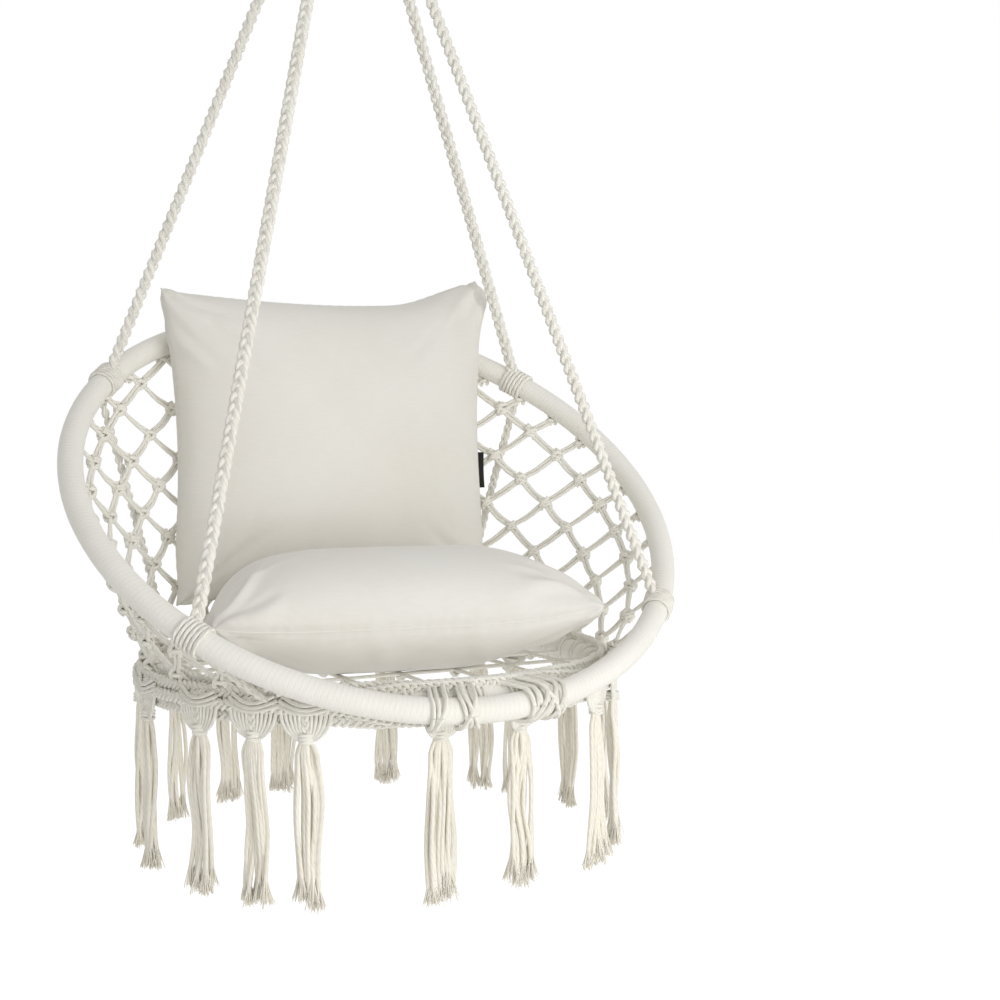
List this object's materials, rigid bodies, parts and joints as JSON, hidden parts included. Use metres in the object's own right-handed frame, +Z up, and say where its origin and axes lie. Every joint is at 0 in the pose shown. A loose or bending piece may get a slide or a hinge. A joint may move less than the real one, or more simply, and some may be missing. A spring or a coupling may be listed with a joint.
{
  "type": "hammock chair",
  "caption": "Hanging macramé chair with two cord-bound hoops, a knotted net basket, braided ropes to a steel ring, a tassel fringe and loose seat and back cushions.",
  "frame": {"origin": "the point where a hook bears inside the top of the steel ring", "axes": "+Z up, the open front towards -Y, +X to the right seen from the front"},
  "size_m": [0.7977, 0.653, 1.488],
  "materials": {
    "polished_steel": "polished, small wear",
    "hoop_steel": "plain zinc-plated tube, hidden under the binding",
    "binding_cord": "close-wound cotton cord, matte",
    "rope_cord": "braided cotton rope, matte",
    "net_cord": "twisted cotton cord, matte",
    "macrame_cord": "knotted cotton cord, matte",
    "tassel_cord": "combed cotton cord with frayed ends, matte",
    "seat_canvas": "plain woven canvas, matte",
    "back_canvas": "plain woven canvas, matte",
    "cushion_filling": "polyester wadding",
    "zip_tape": "woven tape with nylon coil",
    "tag_cloth": "woven satin tape, blank"
  },
  "bodies": {
    "ring": {"hanging_ring": "polished_steel"},
    "eye": {"rope_eye": "rope_cord", "eye_whipping": "binding_cord"},
    "seat": {"upper_hoop_tube": "hoop_steel", "upper_hoop_ferrule": "hoop_steel", "lower_hoop_tube": "hoop_steel", "lower_hoop_ferrule": "hoop_steel", "lower_hoop_binding": "binding_cord", "lashing_front_right": "rope_cord", "lashing_back_right": "rope_cord", "lashing_back_left": "rope_cord", "lashing_front_left": "rope_cord", "upper_hoop_binding_right": "binding_cord", "upper_hoop_binding_back": "binding_cord", "upper_hoop_binding_left": "binding_cord", "upper_hoop_binding_front": "binding_cord", "rope_front_right": "rope_cord", "rope_back_right": "rope_cord", "rope_back_left": "rope_cord", "rope_front_left": "rope_cord", "net_front_right": "net_cord", "net_right_front": "net_cord", "net_right_rear": "net_cord", "net_back_right": "net_cord", "net_back_middle": "net_cord", "net_back_left": "net_cord", "net_left_rear": "net_cord", "net_left_front": "net_cord", "net_front_left": "net_cord", "drop_braid_front_right": "rope_cord", "drop_braid_back_right": "rope_cord", "drop_braid_back_left": "rope_cord", "drop_braid_front_left": "rope_cord", "seat_net": "net_cord", "macrame_band": "macrame_cord", "head_knot": "rope_cord"},
    "seat_cushion": {"seat_cushion_cover": "seat_canvas", "seat_cushion_pad": "cushion_filling", "seat_cushion_zip": "zip_tape"},
    "back_cushion": {"back_cushion_cover": "back_canvas", "back_cushion_pad": "cushion_filling", "back_cushion_zip": "zip_tape", "back_cushion_tag": "tag_cloth"},
    "tassel_01": {"tassel_01": "tassel_cord"},
    "tassel_02": {"tassel_02": "tassel_cord"},
    "tassel_03": {"tassel_03": "tassel_cord"},
    "tassel_04": {"tassel_04": "tassel_cord"},
    "tassel_05": {"tassel_05": "tassel_cord"},
    "tassel_06": {"tassel_06": "tassel_cord"},
    "tassel_07": {"tassel_07": "tassel_cord"},
    "tassel_08": {"tassel_08": "tassel_cord"},
    "tassel_09": {"tassel_09": "tassel_cord"},
    "tassel_10": {"tassel_10": "tassel_cord"},
    "tassel_11": {"tassel_11": "tassel_cord"},
    "tassel_12": {"tassel_12": "tassel_cord"},
    "tassel_13": {"tassel_13": "tassel_cord"},
    "tassel_14": {"tassel_14": "tassel_cord"},
    "tassel_15": {"tassel_15": "tassel_cord"},
    "tassel_16": {"tassel_16": "tassel_cord"},
    "tassel_17": {"tassel_17": "tassel_cord"}
  },
  "joints": [
    {"name": "swing_fore_aft", "type": "hinge", "parent": "ring", "child": "eye", "pos_m": [0, 0, -0.065], "axis": [1, 0, 0], "range_deg": [-25, 25]},
    {"name": "swing_sideways", "type": "hinge", "parent": "eye", "child": "seat", "pos_m": [0, 0, -0.115], "axis": [0, 1, 0], "range_deg": [-12, 12]},
    {"name": "tassel_swing_01", "type": "hinge", "parent": "seat", "child": "tassel_01", "pos_m": [-0.3124, -0.09507, -1.28801], "axis": [0.0349, -0.9994, 0], "range_deg": [-20, 20]},
    {"name": "tassel_swing_02", "type": "hinge", "parent": "seat", "child": "tassel_02", "pos_m": [-0.28372, -0.2129, -1.28704], "axis": [0.4226, -0.9063, 0], "range_deg": [-20, 20]},
    {"name": "tassel_swing_03", "type": "hinge", "parent": "seat", "child": "tassel_03", "pos_m": [-0.24192, -0.28052, -1.28667], "axis": [0.6428, -0.766, 0], "range_deg": [-20, 20]},
    {"name": "tassel_swing_04", "type": "hinge", "parent": "seat", "child": "tassel_04", "pos_m": [-0.19562, -0.32427, -1.28657], "axis": [0.788, -0.6157, 0], "range_deg": [-20, 20]},
    {"name": "tassel_swing_05", "type": "hinge", "parent": "seat", "child": "tassel_05", "pos_m": [-0.0463, -0.35489, -1.29285], "axis": [0.9903, -0.1392, 0], "range_deg": [-20, 20]},
    {"name": "tassel_swing_06", "type": "hinge", "parent": "seat", "child": "tassel_06", "pos_m": [0.05767, -0.34911, -1.29365], "axis": [0.9703, 0.2419, 0], "range_deg": [-20, 20]},
    {"name": "tassel_swing_07", "type": "hinge", "parent": "seat", "child": "tassel_07", "pos_m": [0.17476, -0.32736, -1.28919], "axis": [0.7986, 0.6018, 0], "range_deg": [-20, 20]},
    {"name": "tassel_swing_08", "type": "hinge", "parent": "seat", "child": "tassel_08", "pos_m": [0.24071, -0.25882, -1.29034], "axis": [0.5736, 0.8191, 0], "range_deg": [-20, 20]},
    {"name": "tassel_swing_09", "type": "hinge", "parent": "seat", "child": "tassel_09", "pos_m": [0.28806, -0.15291, -1.29173], "axis": [0.225, 0.9744, 0], "range_deg": [-20, 20]},
    {"name": "tassel_swing_10", "type": "hinge", "parent": "seat", "child": "tassel_10", "pos_m": [0.29406, -0.05272, -1.29277], "axis": [-0.1045, 0.9945, 0], "range_deg": [-20, 20]},
    {"name": "tassel_swing_11", "type": "hinge", "parent": "seat", "child": "tassel_11", "pos_m": [0.26271, 0.05357, -1.2936], "axis": [-0.454, 0.891, 0], "range_deg": [-20, 20]},
    {"name": "tassel_swing_12", "type": "hinge", "parent": "seat", "child": "tassel_12", "pos_m": [0.23156, 0.10287, -1.29387], "axis": [-0.6157, 0.788, 0], "range_deg": [-20, 20]},
    {"name": "tassel_swing_13", "type": "hinge", "parent": "seat", "child": "tassel_13", "pos_m": [0.12019, 0.19097, -1.29395], "axis": [-0.9063, 0.4226, 0], "range_deg": [-20, 20]},
    {"name": "tassel_swing_14", "type": "hinge", "parent": "seat", "child": "tassel_14", "pos_m": [-0.03475, 0.2183, -1.29312], "axis": [-0.9962, -0.0872, 0], "range_deg": [-20, 20]},
    {"name": "tassel_swing_15", "type": "hinge", "parent": "seat", "child": "tassel_15", "pos_m": [-0.12226, 0.19769, -1.29228], "axis": [-0.9272, -0.3746, 0], "range_deg": [-20, 20]},
    {"name": "tassel_swing_16", "type": "hinge", "parent": "seat", "child": "tassel_16", "pos_m": [-0.21566, 0.13795, -1.29102], "axis": [-0.7314, -0.682, 0], "range_deg": [-20, 20]},
    {"name": "tassel_swing_17", "type": "hinge", "parent": "seat", "child": "tassel_17", "pos_m": [-0.28819, 0.03437, -1.28947], "axis": [-0.3907, -0.9205, 0], "range_deg": [-20, 20]},
    {"name": "seat_cushion_lift", "type": "slide", "parent": "seat", "child": "seat_cushion", "axis": [0, -0.95, 0.3122], "range_m": [0, 0.05]},
    {"name": "back_cushion_lift", "type": "slide", "parent": "seat", "child": "back_cushion", "axis": [-0.06, -0.02, 0.998], "range_m": [0, 0.1]}
  ]
}
